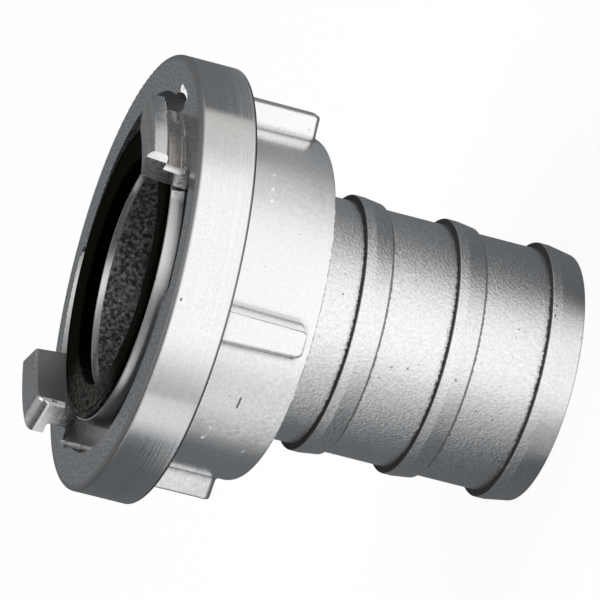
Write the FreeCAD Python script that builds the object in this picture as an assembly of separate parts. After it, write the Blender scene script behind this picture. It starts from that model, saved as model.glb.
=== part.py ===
import FreeCAD, Part
import math
import os

# A quarter turn coupling for a 75 mm fire hose, standing on the end of its hose tail.
# The axis of the coupling is Z. Z = 0 is the tail's end and the two hooked lugs point up.
# Angles run anticlockwise seen from above, and one lug is centred on the X axis.

# Driving dimensions of the turning head, in mm
ring_r = 63.5
ring_length = 17.0
front_z = 126.1
front_edge_round = 1.4
back_edge_round = 0.6
barrel_wall = 5.4
barrel_length = 29.2
barrel_back_round = 3.5
barrel_corner = 1.2
head_bore_r = 44.7
head_bore_corner = 0.5
shoulder_length = 9.0

# Driving dimensions of the bayonet flange and its slots
flange_r = 52.6
slot_r = 55.8
slot_depth = 13.0
flange_thick = 5.0
flange_ramp = 0.8
opening_angle = 39.3
run_out_r = 4.0
notch_r = 20.0
opening_bevel_height = 1.5
opening_bevel_width = 0.5

# Driving dimensions of the two hooked lugs
lug_count = 2
lug_angle = 28.7
lug_neck_thick = 6.5
lip_reach = 3.4
lip_back_height = 5.9
tip_inner_height = 10.6
tip_outer_height = 12.6
tip_round = 2.6
lip_edge_round = 0.8
hook_round = 1.2
tip_corner_round = 4.0
lead_in = 1.6
neck_lead_in = 1.2
lead_lean_angle = 5.5

# Driving dimensions of the four ribs that a coupling wrench grips
rib_count = 4
rib_lead_angle = 30.0
rib_height = 6.9
rib_length = 24.9
rib_sink = 3.0
rib_root_width = 12.1
rib_top_width = 8.7
rib_taper = 1.2
rib_corner_round = 1.8
rib_edge_round = 1.0
rib_foot_round = 1.2
rib_overlap = 2.0

# Driving dimensions of the hose tail
tail_r = 35.5
tail_bore_r = 31.5
tail_end_round = 1.2
tail_bore_round = 0.8
band_count = 3
band_rise = 1.9
band_fall = 0.7
band_width = 8.1
band_land = 3.0
band_pitch = 28.1
last_band_width = 10.5
last_band_fall = 1.3
band_edge_round = 0.4
band_foot_round = 0.3
mouth_lip_r = 34.0
mouth_lip_land = 1.9
mouth_lip_taper = 0.5
mouth_lip_wall = 1.3
mouth_lip_set_back = 2.3
mouth_edge_round = 0.4
mouth_flare_length = 9.9

# Driving dimensions of the swivel between the tail and the head
journal_rise = 0.4
journal_inset = 1.0
journal_clearance = 0.05
tail_flange_length = 10.0
flange_play = 0.05
collar_gap = 0.4
collar_length = 13.5
collar_proud = 1.2
collar_rim = 1.3
collar_taper = 0.8
collar_taper_length = 3.8
neck_r = 40.4
neck_corner = 1.0
turned_edge_round = 0.4

# Driving dimensions of the split retaining ring
wire_height = 2.4
wire_width = 4.0
wire_edge_round = 0.4
wire_split = 12.5
wire_grip = 1.9
wire_play = 0.05

# Driving dimensions of the rubber seal
seal_groove_depth = 10.0
seal_play = 0.02
seal_proud = 2.2
seal_rim_width = 1.7
seal_line_depth = 0.5
seal_line_width = 0.4
seal_lip_overhang = 1.0
seal_lip_lean = 1.0
seal_lip_fall = 0.5
seal_round = 0.4

# Radii and heights that follow from the driving dimensions
ring_back_z = front_z - ring_length
barrel_r = head_bore_r + barrel_wall
barrel_back_z = ring_back_z - barrel_length
rib_r = barrel_r + rib_height
rib_end_z = ring_back_z - rib_length
shoulder_z = barrel_back_z + shoulder_length
slot_floor_z = front_z - slot_depth
flange_under_z = front_z - flange_thick
lug_neck_r = head_bore_r + lug_neck_thick
lip_r = lug_neck_r + lip_reach
band_r = tail_r + band_rise
journal_r = band_r + journal_rise
journal_back_z = barrel_back_z + journal_inset
back_bore_r = journal_r + journal_clearance
collar_r = head_bore_r - collar_gap
tail_flange_back_z = shoulder_z + flange_play
tail_flange_front_z = tail_flange_back_z + tail_flange_length
collar_front_z = front_z + collar_proud
collar_back_z = collar_front_z - collar_length
mouth_lip_z = front_z - mouth_lip_set_back
wire_groove_z = tail_flange_front_z
wire_groove_height = wire_height + 2 * wire_play
wire_groove_r = head_bore_r + wire_grip
seal_floor_z = collar_front_z - seal_groove_depth
seal_groove_outer_r = collar_r - collar_rim
seal_groove_inner_r = mouth_lip_r + mouth_lip_wall
seal_front_z = front_z + seal_proud
tip_z = front_z + tip_outer_height
lip_back_z = front_z + lip_back_height

# Angles that follow from the driving dimensions
lug_half = lug_angle / 2
lug_pitch = 360.0 / lug_count
slot_sweep = lug_pitch - lug_angle
opening_start = lug_pitch - lug_half - opening_angle
lead_lean = math.tan(math.radians(lead_lean_angle)) * (tip_z - slot_floor_z)
lead_foot_angle = math.degrees(lead_lean / head_bore_r)

Z = FreeCAD.Vector(0, 0, 1)
O = FreeCAD.Vector(0, 0, 0)


def point(r, z, angle=0.0):
    """The point at a radius, a height and an angle about the axis."""
    a = math.radians(angle)
    return FreeCAD.Vector(r * math.cos(a), r * math.sin(a), z)


def outline(corners, angle=0.0):
    """A closed face in the plane at one angle, from (radius, height, rounding) corners."""
    count = len(corners)
    places = [point(r, z, angle) for r, z, size in corners]
    bends = []
    for i in range(count):
        here = places[i]
        size = corners[i][2]
        if size <= 0:
            bends.append((here, None, here))
            continue
        to_before = (places[i - 1] - here).normalize()
        to_after = (places[(i + 1) % count] - here).normalize()
        half = to_before.getAngle(to_after) / 2
        run = size / math.tan(half)
        inward = (to_before + to_after).normalize()
        middle = here + inward * (size / math.sin(half) - size)
        bends.append((here + to_before * run, middle, here + to_after * run))
    edges = []
    for i in range(count):
        start, middle, end = bends[i]
        if middle is not None:
            edges.append(Part.Arc(start, middle, end).toShape())
        following = bends[(i + 1) % count][0]
        if end.distanceToPoint(following) > 1e-6:
            edges.append(Part.makeLine(end, following))
    return Part.Face(Part.Wire(edges))


def turned(corners, start_angle=0.0, sweep=360.0):
    """A solid turned from an outline, through a sweep that starts at an angle."""
    return outline(corners, start_angle).revolve(O, Z, sweep)


def block(r0, r1, z0, z1, start_angle=0.0, sweep=360.0):
    """A plain piece of a ring between two radii and two heights."""
    corners = [(r0, z0, 0), (r1, z0, 0), (r1, z1, 0), (r0, z1, 0)]
    return turned(corners, start_angle, sweep)


def around(shape, count):
    """Copies of a shape, evenly spaced about the axis."""
    copies = []
    for i in range(count):
        copy = shape.copy()
        copy.rotate(O, Z, i * 360.0 / count)
        copies.append(copy)
    return copies


def upright(r, angle, radius, z0, z1):
    """An upright cylinder whose centre is at a radius and an angle."""
    return Part.makeCylinder(radius, z1 - z0, point(r, z0, angle), Z)


def rib_section(r, width):
    """The outline of a rib at one radius, with straight sides and two round corners."""
    front = width / 2
    back = (width - rib_taper) / 2
    flat = back - rib_corner_round
    start_z = ring_back_z + rib_overlap
    side_end_z = rib_end_z + rib_corner_round
    part_round = rib_corner_round * math.sin(math.radians(45))
    left_start = FreeCAD.Vector(r, -front, start_z)
    right_start = FreeCAD.Vector(r, front, start_z)
    right_side = FreeCAD.Vector(r, back, side_end_z)
    right_middle = FreeCAD.Vector(r, flat + part_round, side_end_z - part_round)
    right_end = FreeCAD.Vector(r, flat, rib_end_z)
    left_end = FreeCAD.Vector(r, -flat, rib_end_z)
    left_middle = FreeCAD.Vector(r, -flat - part_round, side_end_z - part_round)
    left_side = FreeCAD.Vector(r, -back, side_end_z)
    return Part.Wire(
        [
            Part.makeLine(left_start, right_start),
            Part.makeLine(right_start, right_side),
            Part.Arc(right_side, right_middle, right_end).toShape(),
            Part.makeLine(right_end, left_end),
            Part.Arc(left_end, left_middle, left_side).toShape(),
            Part.makeLine(left_side, left_start),
        ]
    )


def build_rib():
    """One drafted rib, from inside the ring's back towards the hose."""
    foot = rib_section(barrel_r - rib_sink, rib_root_width)
    top = rib_section(rib_r, rib_top_width)
    rib = Part.makeLoft([foot, top], True, True)
    top_edges = []
    for edge in rib.Edges:
        on_top = all(abs(v.X - rib_r) < 1e-6 for v in edge.Vertexes)
        inside_ring = all(v.Z > ring_back_z for v in edge.Vertexes)
        if on_top and not inside_ring:
            top_edges.append(edge)
    rib = rib.makeFillet(rib_edge_round, top_edges)
    rib.rotate(O, Z, rib_lead_angle)
    return rib


def blend_rib_feet(body):
    """Fillets where the ribs run into the barrel."""
    feet = []
    for edge in body.Edges:
        middle = edge.valueAt((edge.FirstParameter + edge.LastParameter) / 2)
        on_barrel = abs(math.hypot(middle.x, middle.y) - barrel_r) < 0.02
        along_rib = rib_end_z - 1.0 < middle.z < ring_back_z - barrel_corner - 0.01
        full_circle = edge.Length > barrel_r
        if on_barrel and along_rib and not full_circle:
            feet.append(edge)
    return body.makeFillet(rib_foot_round, feet)


def lead_end(shape):
    """A shape made beside the XZ plane, leant and turned onto a lug's leading end."""
    shape.rotate(FreeCAD.Vector(0, 0, tip_z), FreeCAD.Vector(1, 0, 0), -lead_lean_angle)
    shape.rotate(O, Z, -lug_half)
    return shape


def lead_corner(r, size, z0, z1):
    """The wedge that cuts the leading corner off a lug's outside at a radius."""
    wedge = Part.makePolygon(
        [
            FreeCAD.Vector(r - size, 0, z0),
            FreeCAD.Vector(r + size, 2 * size, z0),
            FreeCAD.Vector(r + size, -size, z0),
            FreeCAD.Vector(r - size, -size, z0),
            FreeCAD.Vector(r - size, 0, z0),
        ]
    )
    return lead_end(Part.Face(wedge).extrude(FreeCAD.Vector(0, 0, z1 - z0)))


def build_lug():
    """One hooked lug: a neck that rises from the ring, and a lip turned outwards."""
    slant = math.degrees(math.atan2(tip_outer_height - tip_inner_height, lip_r - head_bore_r))
    lug = turned(
        [
            (head_bore_r, slot_floor_z, 0),
            (slot_r, slot_floor_z, 0),
            (slot_r, front_z, 0),
            (lug_neck_r, front_z, hook_round),
            (lug_neck_r, lip_back_z, hook_round),
            (lip_r, lip_back_z, lip_edge_round),
            (lip_r, tip_z, tip_round),
            (head_bore_r, front_z + tip_inner_height, lip_edge_round),
        ],
        -lug_half - lead_foot_angle,
        lug_angle + lead_foot_angle,
    )
    # The leading end is cast with draft, so that it leans outwards to its foot
    beyond = FreeCAD.Vector(0, -lip_r, tip_z - 2 * lip_r)
    lug = lug.cut(lead_end(Part.makeBox(2 * lip_r, lip_r, 3 * lip_r, beyond)))
    # The tip is well rounded towards the end that runs up against a stop
    reach = 2 * tip_corner_round
    centre = FreeCAD.Vector(lip_r, -tip_corner_round, tip_z - tip_corner_round)
    corner = Part.makeBox(2 * reach, reach, reach, centre - FreeCAD.Vector(2 * reach - 2, 0, 0))
    inwards = FreeCAD.Vector(-1, 0, 0)
    corner = corner.cut(Part.makeCylinder(tip_corner_round, 2 * reach, centre - 2 * inwards, inwards))
    corner.rotate(FreeCAD.Vector(lip_r, 0, tip_z), FreeCAD.Vector(0, 1, 0), -slant)
    corner.rotate(O, Z, lug_half)
    # The leading corners are cut off, to find the other half's opening
    lip_corner = lead_corner(lip_r, lead_in, lip_back_z - 1, tip_z + 1)
    neck_corner_cut = lead_corner(lug_neck_r, neck_lead_in, front_z, lip_back_z)
    return lug.cut([corner, lip_corner, neck_corner_cut])


def build_slot():
    """The space from one lug to the next that the other half's lug enters and turns in."""
    top_z = front_z + 1
    inner_r = head_bore_r - 1
    sweep = slot_sweep
    groove = block(inner_r, slot_r, slot_floor_z, front_z - 1, lug_half, sweep)
    # The flange's underside climbs a little, so that turning draws the halves together
    ramp_middle = (lug_half + opening_start) / 2
    ramp_half = (opening_start - lug_half) / 2
    climb = flange_ramp / 2 / (slot_r * math.sin(math.radians(ramp_half)))
    side = 3 * slot_r
    above = Part.makeBox(side, side, slot_depth, FreeCAD.Vector(-side / 2, -side / 2, flange_under_z))
    hinge_point = FreeCAD.Vector(0, 0, flange_under_z)
    above.rotate(hinge_point, FreeCAD.Vector(1, 0, 0), math.degrees(math.atan(climb)))
    above.rotate(O, Z, ramp_middle)
    groove = groove.cut(above)
    inside = block(inner_r, flange_r, slot_floor_z, top_z, lug_half, sweep)
    opening = block(inner_r, slot_r, slot_floor_z, top_z, opening_start, opening_angle)
    bevel_z = front_z - opening_bevel_height
    bevel_r = slot_r + opening_bevel_width / opening_bevel_height * (top_z - bevel_z)
    bevel = turned(
        [(inner_r, bevel_z, 0), (slot_r, bevel_z, 0), (bevel_r, top_z, 0), (inner_r, top_z, 0)],
        opening_start,
        opening_angle - lead_foot_angle,
    )
    run_out = upright(slot_r - run_out_r, opening_start, run_out_r, slot_floor_z, top_z)
    whole = block(inner_r, slot_r, slot_floor_z, top_z, lug_half, sweep)
    notch = upright(slot_r - notch_r, lug_half, notch_r, slot_floor_z, top_z).common(whole)
    return groove.fuse([inside, opening, bevel, run_out, notch])


def build_head():
    """The turning head, cast in one piece with its ribs and lugs."""
    body = turned(
        [
            (back_bore_r, barrel_back_z, 0),
            (barrel_r, barrel_back_z, barrel_back_round),
            (barrel_r, ring_back_z, barrel_corner),
            (ring_r, ring_back_z, back_edge_round),
            (ring_r, front_z, front_edge_round),
            (back_bore_r, front_z, 0),
        ]
    )
    body = body.fuse(around(build_rib(), rib_count))
    body = blend_rib_feet(body.removeSplitter())
    body = body.cut(around(build_slot(), lug_count))
    body = body.fuse(around(build_lug(), lug_count))
    bore = turned(
        [
            (0, shoulder_z, 0),
            (head_bore_r, shoulder_z, head_bore_corner),
            (head_bore_r, tip_z, 0),
            (0, tip_z, 0),
        ]
    )
    wire_groove = block(neck_r, wire_groove_r, wire_groove_z, wire_groove_z + wire_groove_height)
    body = body.cut([bore, wire_groove])
    return body.removeSplitter()


def build_tail():
    """The hose tail, with its bands for the hose and the flange that the head turns on."""
    corners = [
        (tail_bore_r, 0, tail_bore_round),
        (band_r - last_band_fall, 0, tail_end_round),
        (band_r, last_band_width - band_land, band_edge_round),
        (band_r, last_band_width, band_edge_round),
        (tail_r, last_band_width, band_foot_round),
    ]
    for i in range(1, band_count):
        band_front_z = last_band_width + i * band_pitch
        band_back_z = band_front_z - band_width
        corners += [
            (tail_r, band_back_z, band_foot_round),
            (band_r - band_fall, band_back_z, band_edge_round / 2),
            (band_r, band_front_z - band_land, band_edge_round),
            (band_r, band_front_z, band_edge_round),
            (tail_r, band_front_z, band_foot_round),
        ]
    corners += [
        (tail_r, journal_back_z, band_foot_round),
        (journal_r, journal_back_z, band_foot_round),
        (journal_r, tail_flange_back_z, 0),
        (collar_r, tail_flange_back_z, turned_edge_round),
        (collar_r, tail_flange_front_z, turned_edge_round),
        (neck_r, tail_flange_front_z, neck_corner),
        (neck_r, collar_back_z, neck_corner),
        (collar_r, collar_back_z, turned_edge_round),
        (collar_r, collar_front_z - collar_taper_length, turned_edge_round),
        (collar_r - collar_taper, collar_front_z, turned_edge_round),
        (seal_groove_outer_r, collar_front_z, 0),
        (seal_groove_outer_r, seal_floor_z, 0),
        (seal_groove_inner_r, seal_floor_z, 0),
        (seal_groove_inner_r, mouth_lip_z, mouth_edge_round / 2),
        (mouth_lip_r, mouth_lip_z, mouth_edge_round),
        (mouth_lip_r - mouth_lip_taper, mouth_lip_z - mouth_lip_land, 0),
        (tail_bore_r, mouth_lip_z - mouth_lip_land - mouth_flare_length, 0),
    ]
    return turned(corners)


def build_seal():
    """The rubber seal in the tail's mouth, with a lined rim and a lip that reaches inwards."""
    outer_r = seal_groove_outer_r - seal_play
    inner_r = seal_groove_inner_r + seal_play
    line_outer_r = outer_r - seal_rim_width
    line_inner_r = line_outer_r - seal_line_width
    line_z = seal_front_z - seal_line_depth
    over_mouth_r = mouth_lip_r - seal_lip_overhang
    under_z = mouth_lip_z + seal_play
    return turned(
        [
            (inner_r, seal_floor_z + seal_play, 0),
            (outer_r, seal_floor_z + seal_play, 0),
            (outer_r, seal_front_z, seal_round),
            (line_outer_r, seal_front_z, seal_round),
            (line_outer_r, line_z, 0),
            (line_inner_r, line_z, 0),
            (line_inner_r, seal_front_z, seal_round / 2),
            (over_mouth_r, seal_front_z - seal_lip_fall, seal_round),
            (over_mouth_r + seal_lip_lean, under_z, 0),
            (inner_r, under_z, 0),
        ]
    )


def build_retaining_ring():
    """The split ring that springs into the head and keeps the tail's flange in."""
    outer_r = wire_groove_r - wire_play
    inner_r = outer_r - wire_width
    low_z = wire_groove_z + wire_play
    split_angle = math.degrees(wire_split / outer_r)
    return turned(
        [
            (inner_r, low_z, wire_edge_round),
            (outer_r, low_z, wire_edge_round),
            (outer_r, low_z + wire_height, wire_edge_round),
            (inner_r, low_z + wire_height, wire_edge_round),
        ],
        split_angle / 2,
        360.0 - split_angle,
    )


os.makedirs("parts", exist_ok=True)
build_head().exportStep("parts/lug_ring.step")
build_tail().exportStep("parts/hose_tail.step")
build_seal().exportStep("parts/seal_ring.step")
build_retaining_ring().exportStep("parts/retaining_ring.step")
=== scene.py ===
import math
from types import SimpleNamespace

import bpy
from mathutils import Matrix, Vector

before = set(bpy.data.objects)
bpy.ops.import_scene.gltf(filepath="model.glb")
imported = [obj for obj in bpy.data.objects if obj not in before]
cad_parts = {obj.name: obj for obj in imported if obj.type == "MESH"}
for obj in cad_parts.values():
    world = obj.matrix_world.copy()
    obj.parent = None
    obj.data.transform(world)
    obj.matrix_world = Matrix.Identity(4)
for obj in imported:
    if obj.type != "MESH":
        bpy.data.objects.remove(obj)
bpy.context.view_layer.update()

# The coupling stands on its tail with its axis on Z. Lengths are in metres.
face_z = 0.1261
ring_r = 0.0635
ring_back_z = 0.1091
ring_edge_round = 0.0014
barrel_r = 0.0501
barrel_back_z = 0.0799
head_bore_r = 0.0447
slot_r = 0.0558
lug_neck_r = 0.0512
lug_lip_z = 0.1320
tail_r = 0.0355
band_r = 0.0374
band_fronts = (0.0105, 0.0386, 0.0667)
band_backs = (0.0305, 0.0586)
mouth_land_z = 0.1219
mouth_flare_z = 0.1112
seal_groove_r = 0.0430

# Where the finishes and the painted shade of the head fade in or out, by their distance from the axis
# or height
ring_from = (ring_back_z - 0.0001, ring_back_z + 0.0002)
turned_from = (ring_r - 0.0018, ring_r - 0.0010)
front_edge_from_r = (ring_r - 0.0020, ring_r - 0.0014)
front_edge_from_z = (face_z - 0.0018, face_z - 0.0008)
back_edge_to = (ring_back_z + 0.0005, ring_back_z + 0.0010)
rim_from_r = (slot_r + 0.0022, slot_r + 0.0024)
rim_from_z = (ring_back_z + 0.0019, ring_back_z + 0.0021)
slots_to_r = (slot_r - 0.0001, slot_r + 0.0001)
slots_to_z = (face_z - 0.0018, face_z - 0.0015)
lugs_from = (face_z + 0.0001, face_z + 0.0007)
lug_inner_to = (head_bore_r + 0.0001, head_bore_r + 0.0002)
lug_neck_from = (lug_neck_r - 0.0007, lug_neck_r - 0.0002)
lug_neck_to = (lug_lip_z - 0.0006, lug_lip_z)
lug_tip_from = (lug_lip_z + 0.0015, lug_lip_z + 0.0050)
cast_from = (barrel_r - 0.0007, barrel_r - 0.0003)
back_round_from = (barrel_r - 0.0032, barrel_r - 0.0022)
seam_to = (barrel_r - 0.0016, barrel_r - 0.0011)

# Where the finishes and the painted shade of the tail fade in or out
behind_head_to = (barrel_back_z - 0.0019, barrel_back_z - 0.0014)
mouth_from = (mouth_land_z - 0.0002, mouth_land_z + 0.0002)
bore_to = (tail_r - 0.0010, tail_r - 0.0006)
foot_to = (tail_r + 0.0003, tail_r + 0.0005)
lit_bore_from = (mouth_flare_z, mouth_flare_z + 0.0016)
collar_from = (seal_groove_r - 0.0005, seal_groove_r)
shaded_collar_from = (seal_groove_r + 0.0002, seal_groove_r + 0.0015)
end_shade_to = (0.0002, 0.0006)
step_from_level = (0.60, 0.90)

# Bands that a finish or a painted shade keeps to, each with the width of its soft edges. The feet of
# the tail's bands, where shade is painted, are measured from where a band starts or ends.
back_round_z = (barrel_back_z - 0.0019, barrel_back_z + 0.0041, 0.0003)
seam_z = (barrel_back_z - 0.0019, barrel_back_z + 0.0031, 0.0003)
flare_r = (slot_r - 0.0003, slot_r + 0.0005, 0.0001)
flare_z = (face_z - 0.0036, face_z - 0.0001, 0.0001)
flare_angle = (math.radians(100), math.radians(164), 0.05)
front_foot = (-0.0003, 0.0004, 0.0002)
back_foot = (-0.0010, 0.0002, 0.0002)

# The way that the slots' outer wall faces: its part away from the axis and its upward part
flare_lean = (-1.0, 0.33)
# The least upward part of the ring's true direction, so that it always has a length
least_rise = 0.001
# How near another face has to be for a corner to get painted shade
corner_reach = 0.0024
corner_samples = 8
# How far the lines of painted shade on the tail stray, and how strong the weaker ones are
shade_wander = 0.0012
back_foot_share = 0.8
end_shade_share = 0.8

# Small marks on the head. Each lies between two distances from the axis, two heights and two angles:
# edges worn bare round the lugs, partly real wear and partly a painted highlight, painted glints on the
# barrel, and dark specks.
worn_edge_highlights = [
    (0.0440, 0.0455, 0.1284, 0.1362, -168.6, -164.0),
    (0.0552, 0.0560, 0.1160, 0.1262, -166.6, -164.4),
    (0.0540, 0.0568, 0.1225, 0.1268, 14.0, 25.0),
]
painted_glints = [
    (0.0498, 0.0504, 0.0991, 0.1003, -104.8, -102.4),
    (0.0498, 0.0504, 0.0987, 0.0997, -99.5, -97.8),
    (0.0498, 0.0504, 0.0865, 0.0875, -107.2, -105.6),
    (0.0498, 0.0504, 0.0986, 0.0996, -6.7, -4.9),
    (0.0498, 0.0504, 0.0990, 0.1001, -13.0, -11.0),
    (0.0498, 0.0504, 0.0992, 0.1003, -17.2, -15.2),
]
dark_marks = [
    (0.0630, 0.0640, 0.1233, 0.1241, -56.0, -54.9),
    (0.0498, 0.0504, 0.0945, 0.0953, -87.9, -83.2),
]
# The width of the marks' soft edges, in metres and as an angle
mark_soft = 0.0002
mark_turn_soft = 0.006
# The ways that the painted highlights of worn edges and the painted glints face: facing angle, outward
# part and upward part
worn_highlight_way = (80, 0.6, 0.8)
glint_way = (90, 1.0, 0.0)
# How far a glint turns that way
glint_turn = 0.5

# Patterns of the surfaces: fineness to a metre, detail and roughness
grain_pattern = (1500.0, 4.0, 0.75)
speckle_pattern = (1150.0, 2.0, 0.6)
patch_pattern = (90.0, 3.0, 0.6)
skin_pattern = (700.0, 4.0, 0.65)
skin_pit_pattern = (900.0, 2.0, 0.5)
cast_wave_pattern = (110.0, 2.0, 0.5)
dent_pattern = (430.0, 2.0, 0.5)
lump_pattern = (420.0, 2.0, 0.5)
wave_pattern = (90.0, 2.0, 0.5)
sand_pattern = (1350.0, 3.0, 0.6)
sand_pit_pattern = (800.0, 2.0, 0.5)
mottle_pattern = (1100.0, 2.0, 0.6)
bore_pattern = (700.0, 3.0, 0.6)
blotch_pattern = (820.0, 3.0, 0.6)
turned_pattern = (380.0, 3.0, 0.6)
stain_pattern = (600.0, 2.0, 0.5)
dust_pattern = (900.0, 3.0, 0.6)
rubber_pattern = (1800.0, 2.0, 0.5)

# Patterns of tool lines: fineness along them and across them, detail and roughness
ring_lines = (0.6, 2600.0, 3.0, 0.7)
wide_ring_lines = (0.12, 520.0, 2.0, 0.5)
steel_lines = (0.4, 5000.0, 2.0, 0.6)

# The part of a pattern's range over which it shows
middle_span = (0.3, 0.7)
wide_span = (0.2, 0.8)
speckle_span = (0.36, 0.64)
line_span = (0.38, 0.62)
skin_pit_span = (0.74, 0.80)
dent_span = (0.72, 0.80)
sand_pit_span = (0.73, 0.78)
blotch_span = (0.36, 0.66)
stain_span = (0.68, 0.76)
seam_span = (0.38, 0.56)
worn_highlight_span = (0.40, 0.50)
glint_span = (0.44, 0.54)
dust_span = (0.35, 0.70)
dust_and_sheen_side_span = (0.70, 1.0)
corner_span = (0.66, 0.96)

# How deep each pattern goes, and the shares in which patterns are added
milled_depth = 0.000016
line_depth = 0.000013
wide_line_share = 0.9
lug_depth = 0.00003
cast_depth = 0.00006
cast_skin_share = 0.35
blasted_depth = 0.00015
blasted_grain_share = 0.5
blasted_lump_share = 0.15
blasted_pit_share = 1.5
bore_depth = 0.0005
turned_depth = 0.00002
rubber_depth = 0.00002
steel_depth = 0.00002

# Tones of the finishes and of the painted shade and highlights. A pair goes from the darkest to the
# palest.
milled_tones = (0.46, 1.0)
turned_tones = (0.90, 1.0)
front_edge_shade_tone = 0.56
back_edge_shade_tone = 0.16
lug_lip_tones = (0.92, 1.0)
lug_tip_tones = (0.76, 0.92)
lug_neck_shade_tones = (0.50, 0.66)
slot_tone = 0.80
cast_tones = (0.90, 1.0)
dent_tone = 0.30
dent_share = 0.5
corner_shade_tone = 0.12
seam_tone = 0.28
highlight_tone = 0.95
pit_tone = 0.20
mark_tone = 0.20
blasted_tones = (0.85, 0.96)
shade_line_tone = 0.13
bore_tones = (0.12, 0.64)
bore_shadow_tone = 0.01
mouth_tone = 0.88
stain_tone = 0.40
collar_shade_tone = 0.50
steel_tones = (0.42, 0.56)
warm = 0.05
clean_rubber = (0.0016, 0.0019, 0.0006, 1)
dust_and_sheen_rubber = (0.0520, 0.0540, 0.0490, 1)

# Roughness of the finishes. A pair goes from the smoothest to the roughest.
milled_rough = (0.20, 0.26)
turned_rough = (0.06, 0.14)
front_edge_rough = 0.46
lug_rough = (0.20, 0.28)
lug_inner_rough = 0.40
cast_rough = (0.20, 0.30)
blasted_rough = (0.17, 0.27)
bore_rough = 0.55
shade_line_rough = 0.6
mouth_rough = 0.22
collar_rough = 0.20
rubber_rough = (0.50, 0.62)
rubber_gloss = 0.01
steel_rough = (0.25, 0.4)

# The dust and a painted sheen on the seal lie round the side that is lowest in the photograph
rubber_dust_and_sheen_angle = math.radians(-138)

# Smoothing of the solids
weld_reach = 0.000002
sharp_angle = math.radians(32)
face_weight = 80

# The photograph looks almost square at the axis, with the open end turned a little
# towards the camera, and the axis runs down to the right in the picture.
view_turn = math.radians(14.75)
axis_slope = math.radians(14.36)
lug_swivel = math.radians(37.6)
camera_distance = 2.539
camera_limits = (0.1, 50)
picture_side = 600.0
focal_pixels = 9000.0
sensor = 36.0
# The middle of the claw face, to the right of the picture's middle and down from it
face_right = -0.0498
face_down = -0.0080

# The sides of every circle round the part, and the white floor with a low wall at its rim
round_sides = 96
floor_reach = 6.0
floor_wall_height = 0.8
floor_level = 0.9
floor_white_share = 0.92

# The studio's levels low down and overhead, and the rise between them
world_levels = (0.155, 0.40)
world_rise = (0.70, 0.95)

# A large lamp above the part. Its level is the brightness of its face.
lamp_angle = 90
lamp_elevation = 85
lamp_distance = 1.6
lamp_aim_z = 0.07
lamp_side = 2.0
lamp_level = 2.8

# The grey wall and mat that the metal reflects. The mat starts under the tail's rim, and
# its glow rises from there to its full strength.
wall_distance = 0.36
wall_height = 0.32
mat_start = 0.0358
mat_z = 0.0002
mat_full_r = 0.20
mat_strengths = (0.84, 1.0)

# The grades of the wall and the mat. Each stop is the facing angle, from the picture's
# upper side round to its lower side, and the level and warmth there.
cool = -0.06
wall_grade = [
    (0, 0.135, cool),
    (36.8, 0.135, cool),
    (38.2, 0.47, 0.03),
    (42, 0.54, 0.03),
    (50, 0.57, 0.01),
    (54, 0.68, 0),
    (58, 0.85, 0),
    (62, 0.92, 0),
    (70, 0.96, 0),
    (100, 0.96, 0),
    (104, 0.91, 0),
    (108, 0.76, 0),
    (112, 0.57, -0.01),
    (116, 0.46, -0.01),
    (119, 0.42, -0.01),
    (120, 0.62, -0.02),
    (124, 0.68, -0.02),
    (128, 0.64, -0.02),
    (131, 0.43, -0.02),
    (134, 0.17, cool),
    (138, 0.098, cool),
    (160, 0.10, cool),
    (180, 0.12, cool),
]
wall_foot_grade = [
    (0, 0.20, cool),
    (18, 0.23, cool),
    (28, 0.34, -0.01),
    (36, 0.44, -0.01),
    (40, 0.53, 0),
    (45, 0.70, 0),
    (50, 0.82, 0),
    (56, 0.90, 0),
    (62, 0.95, 0),
    (70, 0.98, 0),
    (100, 0.99, 0),
    (106, 0.95, 0),
    (111, 0.85, 0),
    (116, 0.62, -0.02),
    (121, 0.58, -0.02),
    (130, 0.68, -0.02),
    (137, 0.76, -0.01),
    (142, 0.42, -0.01),
    (147, 0.14, cool),
    (180, 0.12, cool),
]
wall_middle_grade = [
    (0, 0.14, cool),
    (36.8, 0.14, cool),
    (40, 0.50, 0.02),
    (60, 0.90, 0),
    (124, 0.92, 0),
    (132, 0.80, 0),
    (138, 0.30, 0),
    (144, 0.12, cool),
    (180, 0.12, cool),
]
wall_upper_grade = [
    (0, 0.190, cool),
    (36.8, 0.180, cool),
    (46, 0.17, 0),
    (56, 0.22, 0),
    (64, 0.46, 0),
    (72, 0.74, 0),
    (82, 0.88, 0),
    (90, 0.62, 0),
    (96, 0.24, 0),
    (102, 0.08, 0),
    (111, 0.06, cool),
    (150, 0.06, cool),
    (166, 0.185, cool),
    (180, 0.188, cool),
]
mat_grade = [
    (0, 0.160, cool),
    (43, 0.128, cool),
    (47, 0.15, 0),
    (51, 0.27, 0),
    (55, 0.44, 0),
    (59, 0.70, 0),
    (64, 0.86, 0),
    (70, 1.02, 0),
    (80, 1.10, 0),
    (92, 1.12, 0),
    (98, 1.04, 0),
    (104, 0.84, 0),
    (109, 0.62, 0),
    (114, 0.44, -0.01),
    (120, 0.38, -0.01),
    (125, 0.30, -0.02),
    (129, 0.15, cool),
    (134, 0.115, cool),
    (180, 0.150, cool),
]
mat_edge_grade = [
    (0, 0.16, cool),
    (36, 0.30, cool),
    (50, 0.74, 0),
    (60, 0.95, 0),
    (92, 0.95, 0),
    (108, 1.35, 0),
    (124, 1.35, 0),
    (134, 0.80, 0),
    (144, 0.12, cool),
    (180, 0.12, cool),
]

# Each grade, with the heights on the wall, or the distances from the axis on the mat,
# between which it takes over from the one before
wall_grades = [
    (0, 0, wall_foot_grade),
    (0.022, 0.030, wall_grade),
    (0.09, 0.11, wall_middle_grade),
    (0.160, 0.170, wall_upper_grade),
]
mat_grades = [
    (0, 0, mat_grade),
    (0.300, 0.318, mat_edge_grade),
]


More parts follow.
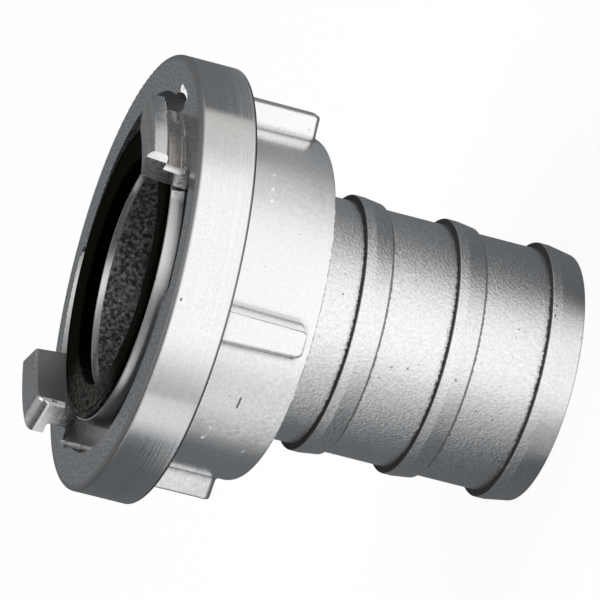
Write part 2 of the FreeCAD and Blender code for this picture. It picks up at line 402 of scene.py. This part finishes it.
def camera_directions():
    """The picture's right, down and forward directions, written in the coupling's frame."""
    turn_s, turn_c = math.sin(view_turn), math.cos(view_turn)
    slope_s, slope_c = math.sin(axis_slope), math.cos(axis_slope)
    tailwards = Vector((turn_c * slope_c, turn_c * slope_s, turn_s))
    upward = Vector((slope_s, -slope_c, 0))
    nearer = Vector((turn_s * slope_c, turn_s * slope_s, -turn_c))
    x_axis = math.cos(lug_swivel) * upward + math.sin(lug_swivel) * nearer
    y_axis = math.sin(lug_swivel) * upward - math.cos(lug_swivel) * nearer
    z_axis = -tailwards
    return [Vector((x_axis[i], y_axis[i], z_axis[i])) for i in range(3)]


def add_camera():
    """The camera, placed so that the claw face lies where the photograph shows it."""
    right, down, forward = camera_directions()
    place = Vector((0, 0, face_z)) - right * face_right - down * face_down
    place -= forward * camera_distance
    data = bpy.data.cameras.new("camera")
    data.sensor_width = sensor
    data.lens = focal_pixels / picture_side * sensor
    data.clip_start, data.clip_end = camera_limits
    camera = bpy.data.objects.new("camera", data)
    turned = Matrix((right, -down, -forward)).transposed().to_4x4()
    camera.matrix_world = Matrix.Translation(place) @ turned
    bpy.context.scene.collection.objects.link(camera)
    bpy.context.scene.camera = camera


class Nodes:
    """A small helper that builds one material's or world's node tree.

    Most methods give back a socket. A share is a value from nothing to one.
    """

    def __init__(self, owner):
        owner.use_nodes = True
        self.tree = owner.node_tree
        self.tree.nodes.clear()

    def add(self, kind, inputs=None, **settings):
        node = self.tree.nodes.new(kind)
        for name, value in settings.items():
            setattr(node, name, value)
        for key, value in (inputs or {}).items():
            self.feed(node.inputs[key], value)
        return node

    def feed(self, socket, value):
        if isinstance(value, bpy.types.NodeSocket):
            self.tree.links.new(value, socket)
        else:
            socket.default_value = value

    def math(self, operation, a, b=0.0, c=0.0, clamp=False):
        inputs = {0: a, 1: b, 2: c}
        node = self.add("ShaderNodeMath", inputs, operation=operation, use_clamp=clamp)
        return node.outputs[0]

    def all_of(self, first, *others):
        """Shares multiplied, so that all of them have to be there."""
        for other in others:
            first = self.math("MULTIPLY", first, other)
        return first

    def any_of(self, first, *others):
        """The largest of some shares."""
        for other in others:
            first = self.math("MAXIMUM", first, other)
        return first

    def ramp(self, value, low, high, to_low=0.0, to_high=1.0):
        """A smooth step from one value to another while the given one goes from low to high."""
        inputs = {0: value, 1: low, 2: high, 3: to_low, 4: to_high}
        node = self.add("ShaderNodeMapRange", inputs, interpolation_type="SMOOTHSTEP")
        return node.outputs[0]

    def ramp_straight(self, value, low, high):
        return self.add("ShaderNodeMapRange", {0: value, 1: low, 2: high}).outputs[0]

    def rise(self, value, limits):
        """A share that comes in between two limits."""
        return self.ramp(value, *limits)

    def fall(self, value, limits):
        """A share that goes out between two limits."""
        return self.ramp(value, *limits, 1.0, 0.0)

    def within(self, value, low, high, soft):
        """One between two values and nothing outside them."""
        return self.all_of(self.rise(value, (low, low + soft)), self.fall(value, (high - soft, high)))

    def marks(self, places, spot):
        """One on a list of small places on the part and nothing elsewhere."""
        found = 0.0
        for near_r, far_r, low_z, high_z, start, end in places:
            mark = self.all_of(
                self.within(spot.radius, near_r, far_r, mark_soft),
                self.within(spot.z, low_z, high_z, mark_soft),
                self.within(spot.angle, math.radians(start), math.radians(end), mark_turn_soft),
            )
            found = self.any_of(found, mark)
        return found

    def mix(self, factor, a, b):
        """One colour over another."""
        node = self.add("ShaderNodeMix", data_type="RGBA")
        self.feed(node.inputs[0], factor)
        self.feed(node.inputs[6], a)
        self.feed(node.inputs[7], b)
        return node.outputs[2]

    def blend(self, factor, a, b):
        return self.add("ShaderNodeMix", {0: factor, 2: a, 3: b}).outputs[0]

    def blend_normals(self, factor, a, b):
        node = self.add("ShaderNodeMix", data_type="VECTOR")
        self.feed(node.inputs[0], factor)
        self.feed(node.inputs[4], a)
        self.feed(node.inputs[5], b)
        return node.outputs[1]

    def noise(self, vector, scale, detail, roughness):
        inputs = {"Vector": vector, "Scale": scale, "Detail": detail, "Roughness": roughness}
        return self.add("ShaderNodeTexNoise", inputs).outputs[0]

    def tool_lines(self, spot, along, across, detail, roughness):
        """Fine lines that run round the axis."""
        inputs = {0: self.vector(spot.angle, spot.z, spot.radius), 1: (along, across, across)}
        stretched = self.add("ShaderNodeVectorMath", inputs, operation="MULTIPLY").outputs[0]
        return self.noise(stretched, 1.0, detail, roughness)

    def tones(self, pattern, span, tones, warmth=0.0):
        """A grey that goes from the first tone to the second over a pattern's span."""
        dark, pale = tones
        return self.mix(self.rise(pattern, span), grey(dark, warmth), grey(pale, warmth))

    def bump(self, height, distance, normal=None):
        inputs = {"Height": height, "Distance": distance, "Strength": 1.0}
        if normal is not None:
            inputs["Normal"] = normal
        return self.add("ShaderNodeBump", inputs).outputs[0]

    def place(self):
        """The spot that is shaded: its point, its distance from the axis and its angle."""
        point = self.add("ShaderNodeTexCoord").outputs["Object"]
        x, y, z = self.add("ShaderNodeSeparateXYZ", {0: point}).outputs
        squares = self.math("ADD", self.math("MULTIPLY", x, x), self.math("MULTIPLY", y, y))
        radius = self.math("SQRT", squares)
        angle = self.math("ARCTAN2", y, x)
        return SimpleNamespace(point=point, x=x, y=y, z=z, radius=radius, angle=angle)

    def vector(self, x, y, z):
        return self.add("ShaderNodeCombineXYZ", {0: x, 1: y, 2: z}).outputs[0]

    def to_world(self, way):
        node = self.add(
            "ShaderNodeVectorTransform",
            {0: way},
            vector_type="NORMAL",
            convert_from="OBJECT",
            convert_to="WORLD",
        )
        return node.outputs[0]

    def way_round(self, spot, outward, upward):
        """A direction at a spot, from its parts away from the axis and along it."""
        share = self.math("DIVIDE", outward, spot.radius)
        x = self.math("MULTIPLY", spot.x, share)
        y = self.math("MULTIPLY", spot.y, share)
        return self.to_world(self.vector(x, y, upward))

    def head_way(self, facing_angle, outward, upward):
        """One direction on the head, from its facing angle and its outward and upward parts."""
        turn = lug_swivel - math.radians(facing_angle)
        return self.to_world((outward * math.cos(turn), outward * math.sin(turn), upward))

    def shader(self, **values):
        names = {
            "color": "Base Color",
            "metallic": "Metallic",
            "roughness": "Roughness",
            "normal": "Normal",
            "specular": "Specular IOR Level",
        }
        inputs = {names[key]: value for key, value in values.items()}
        node = self.add("ShaderNodeBsdfPrincipled", inputs)
        self.add("ShaderNodeOutputMaterial", {"Surface": node.outputs[0]})


def grey(level, warmth=0.0):
    """A grey of one level. Warmth above nothing turns it towards red, and below towards blue."""
    return (level * (1 + warmth), level, level * (1 - warmth), 1)


def head_zones(n, spot):
    """Where each finish and each painted shade of the head is, as shares."""
    ring = n.rise(spot.z, ring_from)
    turned = n.all_of(n.rise(spot.radius, turned_from), ring)
    lugs = n.rise(spot.z, lugs_from)
    slots = n.all_of(n.fall(spot.radius, slots_to_r), ring, n.fall(spot.z, slots_to_z))
    return SimpleNamespace(
        ring=ring,
        turned=turned,
        front_edge=n.all_of(n.rise(spot.radius, front_edge_from_r), n.rise(spot.z, front_edge_from_z)),
        back_edge=n.all_of(n.fall(spot.z, back_edge_to), turned),
        lugs=lugs,
        lug_inner=n.all_of(lugs, n.fall(spot.radius, lug_inner_to)),
        lug_neck=n.all_of(n.fall(spot.z, lug_neck_to), n.rise(spot.radius, lug_neck_from)),
        slots=slots,
        rough_cast=n.any_of(lugs, slots),
        flare=n.all_of(
            n.within(spot.radius, *flare_r),
            n.within(spot.z, *flare_z),
            n.within(spot.angle, *flare_angle),
        ),
        back_round=n.all_of(n.within(spot.z, *back_round_z), n.rise(spot.radius, back_round_from)),
        seam=n.all_of(n.fall(spot.radius, seam_to), n.within(spot.z, *seam_z)),
    )


def head_patterns(n, spot):
    """The patterns that the head's normal, roughness and colour share."""
    return SimpleNamespace(
        lines=n.tool_lines(spot, *ring_lines),
        grain=n.noise(spot.point, *grain_pattern),
        speckle=n.noise(spot.point, *speckle_pattern),
        skin=n.noise(spot.point, *skin_pattern),
        pits=n.rise(n.noise(spot.point, *skin_pit_pattern), skin_pit_span),
        dents=n.rise(n.noise(spot.point, *dent_pattern), dent_span),
    )


def head_normal(n, spot, zones, patterns):
    """The direction of the head's surface, with its tool lines, its grain and its cast skin."""
    # The true direction of the ring's surface, over the front edge too
    outward = n.ramp_straight(spot.radius, ring_r - ring_edge_round, ring_r)
    upward = n.ramp_straight(spot.z, face_z - ring_edge_round, face_z)
    true_way = n.way_round(spot, outward, n.math("MAXIMUM", upward, least_rise))
    true_share = n.all_of(n.rise(spot.radius, rim_from_r), n.rise(spot.z, rim_from_z))
    plain_way = n.add("ShaderNodeNewGeometry").outputs["Normal"]
    base_way = n.blend_normals(true_share, plain_way, true_way)
    # Fine grain on the milled face, and tool lines round the ring's outside
    wide_lines = n.math("MULTIPLY", n.tool_lines(spot, *wide_ring_lines), wide_line_share)
    line_height = n.math("ADD", patterns.lines, wide_lines)
    milled = n.bump(patterns.grain, milled_depth, base_way)
    lined = n.bump(line_height, line_depth, base_way)
    # The skin of the lugs and the slots, and the wavier one of the barrel and the ribs
    lug_skin = n.bump(n.math("SUBTRACT", patterns.skin, patterns.pits), lug_depth)
    waves = n.noise(spot.point, *cast_wave_pattern)
    cast_height = n.math("ADD", n.math("MULTIPLY", patterns.skin, cast_skin_share), waves)
    cast_skin = n.bump(n.math("SUBTRACT", cast_height, patterns.dents), cast_depth)
    normal = n.blend_normals(zones.turned, milled, lined)
    normal = n.blend_normals(zones.rough_cast, normal, lug_skin)
    normal = n.blend_normals(zones.ring, cast_skin, normal)
    # The slots' outer wall opens a little towards the face, and the barrel's back corner
    # reflects what the barrel does
    normal = n.blend_normals(zones.flare, normal, n.way_round(spot, *flare_lean))
    return n.blend_normals(zones.back_round, normal, n.way_round(spot, 1.0, 0.0))


def head_roughness(n, spot, zones, patterns):
    """How rough the head is in each of its finishes."""
    patches = n.noise(spot.point, *patch_pattern)
    milled = n.ramp(patches, *middle_span, *milled_rough)
    turned = n.ramp(patterns.lines, *middle_span, *turned_rough)
    lug = n.ramp(patterns.skin, *middle_span, *lug_rough)
    cast = n.ramp(patterns.skin, *middle_span, *cast_rough)
    rough = n.blend(zones.turned, milled, turned)
    rough = n.blend(zones.front_edge, rough, front_edge_rough)
    rough = n.blend(zones.rough_cast, rough, lug)
    rough = n.blend(zones.lug_inner, rough, lug_inner_rough)
    return n.blend(zones.ring, cast, rough)


def head_color(n, spot, zones, patterns):
    """The head's colour without its small marks."""
    # The milled face is grainy, and the ring's outside faintly lined
    lined = n.math("MULTIPLY", n.math("ADD", patterns.lines, patterns.speckle), 0.5)
    face_tone = n.tones(patterns.speckle, speckle_span, milled_tones)
    line_tone = n.tones(lined, line_span, turned_tones)
    color = n.mix(zones.turned, face_tone, line_tone)
    # The ring's front edge round is painted darker as shade
    color = n.mix(zones.front_edge, color, grey(front_edge_shade_tone))
    # The lugs' necks are painted darker than their lips as shade, and warmer, and their tips a little
    # darker
    lip_tone = n.tones(patterns.skin, wide_span, lug_lip_tones)
    tip_tone = n.tones(patterns.skin, middle_span, lug_tip_tones)
    neck_shade_tone = n.tones(patterns.skin, middle_span, lug_neck_shade_tones, warm)
    lug_tone = n.mix(n.rise(spot.z, lug_tip_from), lip_tone, tip_tone)
    lug_tone = n.mix(zones.lug_neck, lug_tone, neck_shade_tone)
    lug_tone = n.mix(patterns.pits, lug_tone, grey(pit_tone))
    color = n.mix(zones.lugs, color, lug_tone)
    color = n.mix(zones.slots, color, grey(slot_tone))
    # The barrel is pale and darker in its dents, with painted shade in the corners at the feet of its
    # ribs
    cast_tone = n.tones(patterns.grain, middle_span, cast_tones)
    cast_tone = n.mix(n.math("MULTIPLY", patterns.dents, dent_share), cast_tone, grey(dent_tone))
    closeness = n.add(
        "ShaderNodeAmbientOcclusion",
        {"Distance": corner_reach},
        samples=corner_samples,
        only_local=True,
    )
    corner_shade = n.all_of(n.fall(closeness.outputs["AO"], corner_span), n.rise(spot.radius, cast_from))
    cast_tone = n.mix(corner_shade, cast_tone, grey(corner_shade_tone))
    # A thin broken line closes the barrel's back edge
    seam = n.all_of(zones.seam, n.rise(patterns.skin, seam_span))
    cast_tone = n.mix(seam, cast_tone, grey(seam_tone))
    color = n.mix(zones.ring, cast_tone, color)
    # A dark line of painted shade lies along the ring's back edge
    return n.mix(zones.back_edge, color, grey(back_edge_shade_tone))


def head_material():
    """Cast aluminium, turned bright round the ring and milled on the claw face."""
    material = bpy.data.materials.new("machined_casting")
    n = Nodes(material)
    spot = n.place()
    zones = head_zones(n, spot)
    patterns = head_patterns(n, spot)
    color = head_color(n, spot, zones, patterns)
    normal = head_normal(n, spot, zones, patterns)
    # Worn edges are partly real wear and partly a painted highlight, a pale matt colour with a normal
    # turned up to the lamp. Flecks are painted glints that turn towards the pale side, and the slots'
    # flared wall is painted paler too.
    worn_highlights = n.all_of(n.marks(worn_edge_highlights, spot), n.rise(patterns.skin, worn_highlight_span))
    glints = n.all_of(n.marks(painted_glints, spot), n.rise(patterns.speckle, glint_span))
    color = n.mix(n.any_of(worn_highlights, glints, zones.flare), color, grey(highlight_tone))
    color = n.mix(n.marks(dark_marks, spot), color, grey(mark_tone))
    normal = n.blend_normals(worn_highlights, normal, n.head_way(*worn_highlight_way))
    glints_turned = n.math("MULTIPLY", glints, glint_turn)
    normal = n.blend_normals(glints_turned, normal, n.head_way(*glint_way))
    n.shader(
        color=color,
        metallic=n.math("SUBTRACT", 1.0, worn_highlights),
        roughness=head_roughness(n, spot, zones, patterns),
        normal=normal,
    )
    return material


def tail_painted_shade(n, spot, sand):
    """Painted shade on the bands' steps, in the corners at their feet and round the end."""
    normal = n.add("ShaderNodeNewGeometry").outputs["Normal"]
    level = n.add("ShaderNodeSeparateXYZ", {0: normal}).outputs[2]
    shade_lines = n.all_of(n.rise(level, step_from_level), n.fall(spot.z, behind_head_to))
    low_down = n.fall(spot.radius, foot_to)
    wander = n.math("MULTIPLY", n.math("SUBTRACT", sand, 0.5), shade_wander)
    ragged = n.math("ADD", spot.z, wander)
    feet = [(z, front_foot, 1.0) for z in band_fronts]
    feet += [(z, back_foot, back_foot_share) for z in band_backs]
    for foot_z, (below, above, soft), share in feet:
        corner = n.within(ragged, foot_z + below, foot_z + above, soft)
        shade_lines = n.any_of(shade_lines, n.all_of(corner, low_down, share))
    return n.any_of(shade_lines, n.ramp(spot.z, *end_shade_to, end_shade_share, 0.0))


def tail_normal(n, spot, in_bore, machined, grain, sand, pits):
    """The direction of the tail's surface: blasted outside, coarse in the bore, smooth at the mouth."""
    lumps = n.noise(spot.point, *lump_pattern)
    waves = n.noise(spot.point, *wave_pattern)
    height = n.math("ADD", n.math("MULTIPLY", grain, blasted_grain_share), sand)
    low_lumps = n.math("MULTIPLY", n.math("ADD", lumps, waves), blasted_lump_share)
    height = n.math("ADD", height, low_lumps)
    height = n.math("SUBTRACT", height, n.math("MULTIPLY", pits, blasted_pit_share))
    blasted = n.bump(height, blasted_depth)
    coarse = n.bump(n.noise(spot.point, *bore_pattern), bore_depth)
    turned = n.bump(n.noise(spot.point, *turned_pattern), turned_depth)
    normal = n.blend_normals(in_bore, blasted, coarse)
    return n.blend_normals(machined, normal, turned)


def tail_material():
    """Sand cast and blasted aluminium, rough and dark in the bore, turned at the mouth."""
    material = bpy.data.materials.new("blasted_casting")
    n = Nodes(material)
    spot = n.place()
    machined = n.rise(spot.z, mouth_from)
    in_bore = n.all_of(n.fall(spot.radius, bore_to), n.math("SUBTRACT", 1.0, machined))
    collar = n.all_of(n.rise(spot.radius, collar_from), machined)
    grain = n.noise(spot.point, *grain_pattern)
    sand = n.noise(spot.point, *sand_pattern)
    pits = n.rise(n.noise(spot.point, *sand_pit_pattern), sand_pit_span)
    shade_lines = tail_painted_shade(n, spot, sand)
    # The blasted outside is faintly mottled
    tone = n.tones(n.noise(spot.point, *mottle_pattern), speckle_span, blasted_tones)
    tone = n.mix(pits, tone, grey(pit_tone))
    # Painted shade darkens the bands' steps and feet and the tail's end
    tone = n.mix(shade_lines, tone, grey(shade_line_tone, warm))
    # The bore is blotched, and painted dark further in as a shadow
    bore_tone = n.tones(n.noise(spot.point, *blotch_pattern), blotch_span, bore_tones)
    bore_tone = n.mix(n.rise(spot.z, lit_bore_from), grey(bore_shadow_tone), bore_tone)
    tone = n.mix(in_bore, tone, bore_tone)
    # The turned mouth is bright with a few stains, and its collar is painted darker as shade
    stains = n.rise(n.noise(spot.point, *stain_pattern), stain_span)
    turned_tone = n.mix(stains, grey(mouth_tone), grey(stain_tone))
    turned_tone = n.mix(n.rise(spot.radius, shaded_collar_from), turned_tone, grey(collar_shade_tone))
    tone = n.mix(machined, tone, turned_tone)
    rough = n.blend(in_bore, n.ramp(grain, *middle_span, *blasted_rough), bore_rough)
    rough = n.blend(shade_lines, rough, shade_line_rough)
    rough = n.blend(machined, rough, n.blend(collar, mouth_rough, collar_rough))
    normal = tail_normal(n, spot, in_bore, machined, grain, sand, pits)
    n.shader(color=tone, metallic=1.0, roughness=rough, normal=normal)
    return material


def rubber_material():
    """Moulded black rubber, dusty on its lower side, with a painted sheen there."""
    material = bpy.data.materials.new("black_rubber")
    n = Nodes(material)
    spot = n.place()
    dust = n.noise(spot.point, *dust_pattern)
    side = n.math("COSINE", n.math("SUBTRACT", spot.angle, rubber_dust_and_sheen_angle))
    dust_and_sheen = n.all_of(n.rise(side, dust_and_sheen_side_span), n.rise(dust, dust_span))
    n.shader(
        color=n.mix(dust_and_sheen, clean_rubber, dust_and_sheen_rubber),
        roughness=n.ramp(dust, *middle_span, *rubber_rough),
        specular=rubber_gloss,
        normal=n.bump(n.noise(spot.point, *rubber_pattern), rubber_depth),
    )
    return material


def steel_material():
    """Drawn spring steel."""
    material = bpy.data.materials.new("spring_steel")
    n = Nodes(material)
    lines = n.tool_lines(n.place(), *steel_lines)
    n.shader(
        color=n.tones(lines, middle_span, steel_tones),
        metallic=1.0,
        roughness=n.ramp(lines, *middle_span, *steel_rough),
        normal=n.bump(lines, steel_depth),
    )
    return material


def dress(name, material):
    """Gives a solid its material, and normals that run smoothly over its rounded edges."""
    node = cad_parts[name]
    node.data.materials.clear()
    node.data.materials.append(material)
    weld = node.modifiers.new("weld", "WELD")
    weld.merge_threshold = weld_reach
    split = node.modifiers.new("edges", "EDGE_SPLIT")
    split.split_angle = sharp_angle
    split.use_edge_sharp = False
    normals = node.modifiers.new("normals", "WEIGHTED_NORMAL")
    normals.mode = "FACE_AREA"
    normals.weight = face_weight


def white_to_the_eye(n, shader, share):
    """A shader that the camera, metal and glass see mostly as plain white."""
    path = n.add("ShaderNodeLightPath").outputs
    seen = n.math("ADD", path["Is Camera Ray"], path["Is Glossy Ray"])
    seen = n.math("ADD", seen, path["Is Transmission Ray"], clamp=True)
    white = n.add("ShaderNodeEmission", {"Color": grey(1.0), "Strength": 1.0}).outputs[0]
    inputs = {0: n.math("MULTIPLY", seen, share), 1: shader, 2: white}
    return n.add("ShaderNodeMixShader", inputs).outputs[0]


def add_mesh(name, points, faces, material):
    mesh = bpy.data.meshes.new(name)
    mesh.from_pydata(points, [], faces)
    mesh.materials.append(material)
    thing = bpy.data.objects.new(name, mesh)
    bpy.context.scene.collection.objects.link(thing)
    return thing


def around_axis(angle, distance, z):
    """A point round the axis. Its angle starts at the picture's upper side and turns to the camera."""
    turn = lug_swivel - math.radians(angle)
    return Vector((distance * math.cos(turn), distance * math.sin(turn), z))


def circle(distance, z):
    """The points of a circle round the axis."""
    return [around_axis(360 * i / round_sides, distance, z) for i in range(round_sides)]


def strip_faces():
    """The faces that join one circle of points to the next."""
    pairs = [(i, (i + 1) % round_sides) for i in range(round_sides)]
    return [(here, there, round_sides + there, round_sides + here) for here, there in pairs]


def add_floor():
    """A plain pale floor with a low wall round it, seen as white, that keeps a faint shadow."""
    ring = circle(floor_reach, 0)
    top = circle(floor_reach, floor_wall_height)
    disc = tuple(reversed(range(round_sides)))
    material = bpy.data.materials.new("floor")
    n = Nodes(material)
    matt = n.add("ShaderNodeBsdfDiffuse", {"Color": grey(floor_level)}).outputs[0]
    surface = white_to_the_eye(n, matt, floor_white_share)
    n.add("ShaderNodeOutputMaterial", {"Surface": surface})
    add_mesh("floor", ring + top, [disc] + strip_faces(), material)


def facing(n, spot, mirror_r):
    """The angle of the upright surface, mirror_r from the axis, that shows a spot to the camera."""
    turn = n.math("SUBTRACT", lug_swivel - math.pi / 2, spot.angle)
    turn = n.math("WRAP", turn, math.pi, -math.pi)
    share = n.math("DIVIDE", mirror_r, spot.radius)
    turn = n.math("DIVIDE", turn, n.math("SUBTRACT", 2.0, share))
    return n.math("ADD", n.math("MULTIPLY", turn, 180 / math.pi), 90.0)


def graded(n, place, stops):
    """A grey that follows a grade. The place is the facing angle."""
    low, high = stops[0][0], stops[-1][0]
    share = n.math("DIVIDE", n.math("SUBTRACT", place, low), high - low, clamp=True)
    ramp = n.add("ShaderNodeValToRGB", {0: share})
    elements = ramp.color_ramp.elements
    for i, (angle, level, warmth) in enumerate(stops):
        # A new ramp has two elements already
        element = elements[i] if i < 2 else elements.new(1.0)
        element.position = (angle - low) / (high - low)
        element.color = grey(level, warmth)
    return ramp.outputs[0]


def add_grey_round(name, mirror_r, inner, outer, top, grades):
    """A graded grey surface round the part, a mat or a wall, that only the metal sees.

    A wall is as far from the axis at its foot as at its top, and a mat is flat.
    """
    material = bpy.data.materials.new(name)
    n = Nodes(material)
    spot = n.place()
    place = facing(n, spot, mirror_r)
    is_wall = inner == outer
    distance = spot.z if is_wall else spot.radius
    color = None
    for start, end, stops in grades:
        grade = graded(n, place, stops)
        color = grade if color is None else n.mix(n.ramp(distance, start, end), color, grade)
    strength = 1.0 if is_wall else n.ramp(spot.radius, mat_start, mat_full_r, *mat_strengths)
    glow = n.add("ShaderNodeEmission", {"Color": color, "Strength": strength})
    n.add("ShaderNodeOutputMaterial", {"Surface": glow.outputs[0]})
    thing = add_mesh(name, circle(inner, mat_z) + circle(outer, top), strip_faces(), material)
    thing.visible_camera = False
    thing.visible_diffuse = False
    thing.visible_shadow = False


def add_world():
    """A dim studio that is a little paler overhead."""
    world = bpy.data.worlds.new("studio")
    bpy.context.scene.world = world
    n = Nodes(world)
    direction = n.add("ShaderNodeTexCoord").outputs["Generated"]
    rise = n.add("ShaderNodeSeparateXYZ", {0: direction}).outputs[2]
    color = n.tones(rise, world_rise, world_levels)
    fill = n.add("ShaderNodeBackground", {"Color": color, "Strength": 1.0})
    n.add("ShaderNodeOutputWorld", {"Surface": fill.outputs[0]})


def add_lamp():
    """A soft square lamp that faces the part. It lights the floor, the rubber and the worn edges'
    painted highlights.
    """
    rise = math.radians(lamp_elevation)
    flat = around_axis(lamp_angle, 1.0, 0)
    outward = flat * math.cos(rise) + Vector((0, 0, 1)) * math.sin(rise)
    side = Vector((0, 0, 1)).cross(flat)
    data = bpy.data.lights.new("lamp_over", "AREA")
    data.shape = "RECTANGLE"
    data.size = lamp_side
    data.size_y = lamp_side
    data.energy = lamp_level * math.pi * lamp_side * lamp_side
    lamp = bpy.data.objects.new("lamp_over", data)
    turned = Matrix((side, outward.cross(side), outward)).transposed().to_4x4()
    place = outward * lamp_distance + Vector((0, 0, lamp_aim_z))
    lamp.matrix_world = Matrix.Translation(place) @ turned
    lamp.visible_camera = False
    lamp.visible_glossy = False
    bpy.context.scene.collection.objects.link(lamp)


dress("lug_ring", head_material())
dress("hose_tail", tail_material())
dress("seal_ring", rubber_material())
dress("retaining_ring", steel_material())
add_floor()
add_grey_round("wall", ring_r, wall_distance, wall_distance, wall_height, wall_grades)
add_grey_round("mat", band_r, mat_start, wall_distance, mat_z, mat_grades)
add_world()
add_lamp()
add_camera()

bpy.context.scene.view_settings.view_transform = "Standard"
